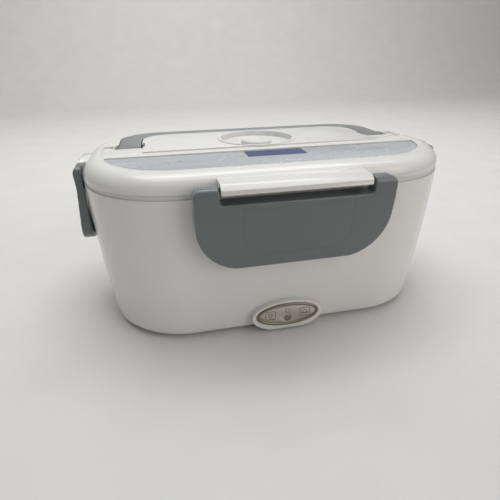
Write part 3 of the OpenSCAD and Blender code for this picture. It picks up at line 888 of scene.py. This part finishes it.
@dataclass
class Indicator:
    """The oval plate with its trim ring, lamp and plain signs."""

    ring_bulge: float = 0.6 * MM
    ring_arc: int = 8
    ring_gap: float = 0.02 * MM
    face_edge: float = 0.15 * MM
    line: float = 0.42 * MM
    line_height: float = 0.08 * MM
    line_sink: float = 0.02 * MM
    sign_size: float = 3.1 * MM
    sign_x: float = 10.9 * MM
    sign_rise: float = 0.2 * MM
    standby_rise: float = 2.7 * MM
    standby_radius: float = 1.45 * MM
    standby_gap: float = 0.7
    steps: int = 120
    low: Vector = field(init=False)
    high: Vector = field(init=False)

    def __post_init__(self) -> None:
        """Reads the trim ring's box from the frame."""
        self.low, self.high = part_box("indicator_bezel")

    @property
    def centre_z(self) -> float:
        """Height of the oval's centre."""
        return (self.low.z + self.high.z) / 2

    def build(self) -> None:
        """Builds the ring, the plate, the lamp and the signs."""
        self._ring()
        plate = softened("indicator_face", "indicator_plate", self.face_edge, 2)
        rides(plate, body_of("indicator_plate"), FACE, "indicator_plate")
        self._lamp()
        face_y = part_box("indicator_plate")[0].y
        body = body_of("indicator_plate")
        for mark, x, z in (
            (Mark.PLUG, -self.sign_x, self.centre_z + self.sign_rise),
            (Mark.CAR, self.sign_x, self.centre_z + self.sign_rise),
            (Mark.STANDBY, 0.0, self.centre_z + self.standby_rise),
        ):
            rides(self._sign(mark, x, z, face_y), body, MARK)

    def _oval(self, a: float, b: float, y: float) -> list[Vector]:
        """Sets out an oval that faces the front.

        Args:
            a: Half its width.
            b: Half its height.
            y: Its depth.

        Returns:
            The ring of points.
        """
        turns = [2 * math.pi * i / self.steps for i in range(self.steps)]
        return [Vector((a * math.cos(t), y, self.centre_z + b * math.sin(t))) for t in turns]

    def _ring(self) -> None:
        """Makes the trim ring with a rounded face."""
        a, b = (self.high.x - self.low.x) / 2, (self.high.z - self.low.z) / 2
        plate_low, plate_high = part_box("indicator_plate")
        width = a - (plate_high.x - plate_low.x) / 2 - self.ring_gap
        front, back = self.low.y, self.high.y
        rings = [self._oval(a, b, back)]
        for i in range(self.ring_arc + 1):
            t = math.pi * i / self.ring_arc
            inset = width / 2 * (1 - math.cos(t))
            y = front + self.ring_bulge * (1 - math.sin(t))
            rings.append(self._oval(a - inset, b - inset, y))
        rings.append(self._oval(a - width, b - width, back))
        rings.append(rings[0])
        ring = new_piece("indicator_trim", ring_loft(rings, capped=False), 50)
        rides(ring, body_of("indicator_bezel"), BEZEL, "indicator_bezel")

    def _lamp(self) -> None:
        """Makes the lamp's light pipe with a domed end."""
        low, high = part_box("light_pipe")
        radius = (high.x - low.x) / 2
        z = (low.z + high.z) / 2
        dome = ((0.05, 0.0), (0.4, 0.04), (0.7, 0.12), (0.9, 0.28), (1.0, 0.5))
        levels = [(share, low.y + depth * MM) for share, depth in dome]
        levels += [(1.0, high.y - 0.3 * MM), (0.85, high.y)]
        rings = []
        for share, y in levels:
            rings.append([Vector((x, y, z + h)) for x, h in circle_points(radius * share)])
        lamp = new_piece("lamp_light_pipe", ring_loft(rings), 60)
        rides(lamp, body_of("light_pipe"), LAMP, "light_pipe")

    def _sign(self, mark: Mark, x: float, z: float, face_y: float) -> bpy.types.Object:
        """Makes one sign of thin raised lines.

        Args:
            mark: Which sign.
            x: Its centre along the front.
            z: Its centre's height.
            face_y: Depth of the plate's face.

        Returns:
            The new object.
        """
        mesh = bmesh.new()
        for points, closed in self._standby() if mark is Mark.STANDBY else self._framed(mark):
            self._add_line(mesh, [(x + px, z + pz) for px, pz in points], closed, face_y)
        return new_piece("sign_" + mark.value, mesh)

    def _standby(self) -> list[Line]:
        """Draws the standby sign: an open circle, and a stroke in its gap.

        Returns:
            Its lines about their centre.
        """
        radius, gap, steps = self.standby_radius, self.standby_gap, 24
        turns = [math.pi / 2 + gap + (2 * math.pi - 2 * gap) * i / steps for i in range(steps + 1)]
        arc = [(radius * math.cos(t), radius * math.sin(t)) for t in turns]
        return [(arc, False), ([(0, radius * 0.25), (0, radius * 1.25)], False)]

    def _framed(self, mark: Mark) -> list[Line]:
        """Draws the plug or the car in its round-cornered frame.

        Args:
            mark: Which of the two.

        Returns:
            Its lines about their centre.
        """
        size = self.sign_size
        lines = [(rounded_box(size, size * 0.92, size * 0.35, 6), True)]
        if mark is Mark.PLUG:
            shape = [(-0.45, 0.25), (0.45, 0.25), (0.4, -0.15), (0.0, -0.38), (-0.4, -0.15)]
            strokes = [[(x, 0.25), (x, 0.55)] for x in (-0.22, 0.22)] + [[(0, -0.38), (0, -0.62)]]
            lines += [([(x * size, z * size) for x, z in points], False) for points in strokes]
        else:
            half = [(0.25, 0.38), (0.42, 0.08), (0.62, 0.02), (0.62, -0.3)]
            shape = [(-x, z) for x, z in reversed(half)] + half
            for middle in (-0.36, 0.36):
                wheel = circle_points(0.11 * size, 14)
                lines.append(([(middle * size + x, -0.32 * size + z) for x, z in wheel], True))
        lines.insert(1, ([(x * size, z * size) for x, z in shape], True))
        return lines

    def _add_line(self, mesh: bmesh.types.BMesh, points: list[Point2], closed: bool, face_y: float) -> None:
        """Adds one raised line of a sign to a mesh.

        Args:
            mesh: The sign's mesh.
            points: The line's points in the front plane.
            closed: Whether it closes on itself.
            face_y: Depth of the plate's face.
        """
        sides = stroke(points, self.line, closed)
        foot, crest = face_y + self.line_sink, face_y - self.line_height
        rows = [
            [mesh.verts.new((side[k][0], y, side[k][1])) for side in sides]
            for y, k in ((foot, 0), (crest, 0), (crest, 1), (foot, 1))
        ]
        count = len(points)
        for a, b in zip(rows, rows[1:] + rows[:1]):
            for i in range(count if closed else count - 1):
                j = (i + 1) % count
                mesh.faces.new((a[i], a[j], b[j], b[i]))
        if not closed:
            for i in (0, count - 1):
                mesh.faces.new([row[i] for row in rows])


# ---------------------------------------------------------------- tray


@dataclass
class Containers:
    """The steel tray and the side-dish box with its clear lid."""

    tray_roll: float = 0.3 * MM
    box_edge: float = 0.39 * MM

    def build(self) -> None:
        """Builds the tray, the box and the box's lid."""
        tray = softened("food_tray_pressing", "food_tray", self.tray_roll, 2, sharper_than=35.0)
        rides(tray, body_of("food_tray"), TRAY_STEEL, "food_tray")
        box = softened("side_box_moulding", "side_box", self.box_edge, 2)
        rides(box, body_of("side_box"), WELL_WHITE_PAINTED_SHADE, "side_box")
        lid = softened("side_box_lid_moulding", "side_box_lid", self.box_edge, 2)
        rides(lid, body_of("side_box_lid"), BOX_LID, "side_box_lid")


# ---------------------------------------------------------------- lid


@dataclass
class Lid:
    """The lid moulding, its inner plate, its seal and its steam plug.

    The hinge bars stand out from the crown, whose half length and half depth
    are given here.  A latch's pin lies at pin_z in its bar, further out on the
    long sides than at the ends.
    """

    top_edge: float = 0.45 * MM
    bar_edge: float = 1.5 * MM
    seam_edge: float = 0.3 * MM
    bore_edge: float = 0.1 * MM
    plug_edge: float = 0.6 * MM
    half_length: float = 110.8 * MM
    half_depth: float = 68.0 * MM
    bar_start: float = 0.5 * MM
    long_pin_out: float = 7.25 * MM
    end_pin_out: float = 2.6 * MM
    pin_z: float = 97.3 * MM
    bore_reach: float = 2.0 * MM
    top_z: float = 100.0 * MM

    def build(self) -> None:
        """Builds every piece of the lid."""
        shell = softened("lid_moulding", "lid_shell", self.bar_edge, 4, self._shell_width)
        rides(shell, body_of("lid_shell"), WHITE, "lid_shell")
        liner = softened("lid_inner_plate", "lid_liner", self.seam_edge)
        rides(liner, body_of("lid_liner"), WELL_WHITE_PAINTED_SHADE, "lid_liner")
        seal = softened("lid_seal_ring", "lid_seal", self.seam_edge, 2)
        rides(seal, body_of("lid_seal"), SILICONE, "lid_seal")
        keep("handle_pins", SCREW_STEEL)
        plug = softened("steam_plug", "vent_plug", self.plug_edge, 4, sharper_than=14.0)
        rides(plug, body_of("vent_plug"), SILICONE, "vent_plug")

    def _shell_width(self, middle: Vector) -> float:
        """Chooses the rounding of an edge of the lid.

        Args:
            middle: The edge's middle point.

        Returns:
            Its width: large on the hinge bars, least at the pins' bores.
        """
        out = max(abs(middle.y) - self.half_depth, abs(middle.x) - self.half_length)
        if out <= self.bar_start:
            return self.top_edge if middle.z > self.top_z else self.seam_edge
        pin_out = self.long_pin_out if abs(middle.y) > self.half_depth else self.end_pin_out
        in_bore = math.hypot(out - pin_out, middle.z - self.pin_z) < self.bore_reach
        return self.bore_edge if in_bore else self.bar_edge


@dataclass
class CutleryCover:
    """The clear cover of the cutlery compartment and its plain label."""

    edge: float = 0.45 * MM
    label_corner: float = 0.3 * MM
    label_edge: float = 0.04 * MM

    def build(self) -> None:
        """Builds the cover and the label."""
        cover = softened("clear_cover", "cutlery_cover", self.edge)
        rides(cover, body_of("cutlery_cover"), WINDOW, "cutlery_cover")
        low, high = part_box("cover_label")
        middle, half = (low + high) / 2, (high - low) / 2
        rings = []
        for z, inset in ((low.z, 0.0), (high.z - self.label_edge, 0.0), (high.z, self.label_edge)):
            outline = rounded_box(half.x, half.y, self.label_corner, 5, inset)
            rings.append([Vector((middle.x + x, middle.y + y, z)) for x, y in outline])
        label = new_piece("plain_label", ring_loft(rings))
        rides(label, body_of("cover_label"), LABEL, "cover_label")


class Side(Enum):
    """The four sides that carry a clip latch."""

    FRONT = "front"
    BACK = "back"
    LEFT = "left"
    RIGHT = "right"


@dataclass
class Latches:
    """The four clip latches."""

    cell: float = 0.4 * MM
    rounds: int = 7

    def build(self) -> None:
        """Builds a moulding for each latch."""
        for side in Side:
            node = side.value + "_latch"
            piece = rounded(node + "_moulding", node, self.cell, self.rounds)
            rides(piece, body_of(node), GREY, node)


@dataclass
class CarryHandle:
    """The folding carry handle."""

    edge: float = 1.6 * MM

    def build(self) -> None:
        """Builds the handle's moulding."""
        handle = softened("carry_handle_moulding", "carry_handle", self.edge, 5)
        rides(handle, body_of("carry_handle"), GREY, "carry_handle")


# ---------------------------------------------------------------- studio


@dataclass(frozen=True)
class Viewpoint:
    """Where the camera stands and how it is turned."""

    place: Point3 = (-0.0652, -0.2607, 0.1565)
    forward: Point3 = (0.1904, 0.8763, -0.4425)
    right: Point3 = (0.9758, -0.2182, -0.0123)
    lens: float = 28.8
    sensor: float = 36.0
    nearest: float = 10.0 * MM

    def build(self) -> None:
        """Makes the scene's camera."""
        data = bpy.data.cameras.new("viewpoint")
        data.lens = self.lens
        data.sensor_width = self.sensor
        data.clip_start = self.nearest
        camera = link_new("viewpoint", data)
        back = -Vector(self.forward).normalized()
        right = Vector(self.right)
        right = (right - right.dot(back) * back).normalized()
        up = back.cross(right)
        turn = Matrix((right, up, back)).transposed().to_4x4()
        camera.matrix_world = Matrix.Translation(Vector(self.place)) @ turn
        bpy.context.scene.camera = camera


@dataclass(frozen=True)
class Softbox:
    """One area lamp of the studio."""

    name: str
    place: Point3
    size: float
    power: float
    tint: Colour
    aim: Point3 = (0.0, 0.0, 0.05)

    def build(self) -> None:
        """Makes the lamp and points it at its aim."""
        data = bpy.data.lights.new(self.name, "AREA")
        data.shape = "SQUARE"
        data.size = self.size
        data.energy = self.power
        data.color = self.tint
        lamp = link_new(self.name, data)
        lamp.location = self.place
        lamp.rotation_euler = (Vector(self.aim) - Vector(self.place)).to_track_quat("-Z", "Y").to_euler()


@dataclass
class Studio:
    """The floor, the backdrop, the world and the lamps."""

    reach: float = 3.0
    bend: float = 0.5
    bend_steps: int = 12
    backdrop: float = 1.1
    world_grey: float = 0.80
    world_strength: float = 0.3
    lamps: tuple[Softbox, ...] = (
        Softbox("overhead_softbox", (0.0, 0.12, 1.0), 1.0, 6.3, (0.99, 0.995, 1.0)),
        Softbox("wall_softbox", (0.1, 0.35, 1.3), 1.2, 12.5, (0.97, 0.985, 1.0), (0.15, 1.8, 0.45)),
        Softbox("front_softbox", (0.75, -1.0, 0.65), 0.9, 4.6, (1.0, 0.945, 0.87)),
    )

    def build(self) -> None:
        """Builds the stage and the light."""
        self._sweep()
        self._world()
        for lamp in self.lamps:
            lamp.build()
        bpy.context.scene.view_settings.view_transform = "Standard"

    def _sweep(self) -> None:
        """Makes the floor and the backdrop as one bent sheet."""
        profile = [(-self.reach, 0.0), (self.backdrop, 0.0)]
        for i in range(1, self.bend_steps + 1):
            t = math.pi / 2 * i / self.bend_steps
            profile.append((self.backdrop + self.bend * math.sin(t), self.bend * (1 - math.cos(t))))
        profile.append((self.backdrop + self.bend, self.reach))
        mesh = bmesh.new()
        rows = [[mesh.verts.new((x, y, z)) for y, z in profile] for x in (-self.reach, self.reach)]
        for i in range(len(profile) - 1):
            mesh.faces.new((rows[0][i], rows[1][i], rows[1][i + 1], rows[0][i + 1]))
        sheet = new_piece("studio_sweep", mesh)
        sheet.data.materials.append(FLOOR.material())

    def _world(self) -> None:
        """Sets an even pale surrounding light."""
        world = bpy.data.worlds.new("studio")
        bpy.context.scene.world = world
        world.use_nodes = True
        background = world.node_tree.nodes["Background"]
        background.inputs["Color"].default_value = (self.world_grey,) * 3 + (1,)
        background.inputs["Strength"].default_value = self.world_strength


def main() -> None:
    """Builds the viewpoint, the studio and each sub-assembly in turn."""
    logging.basicConfig(level=logging.INFO, format="%(name)s: %(message)s")
    Viewpoint().build()
    Studio().build()
    for assembly in (
        Housing(),
        HeaterPack(),
        PowerInlets(),
        Indicator(),
        Containers(),
        Lid(),
        CutleryCover(),
        Latches(),
        CarryHandle(),
    ):
        LOG.info("building %s", type(assembly).__name__)
        assembly.build()


if __name__ == "__main__":
    main()
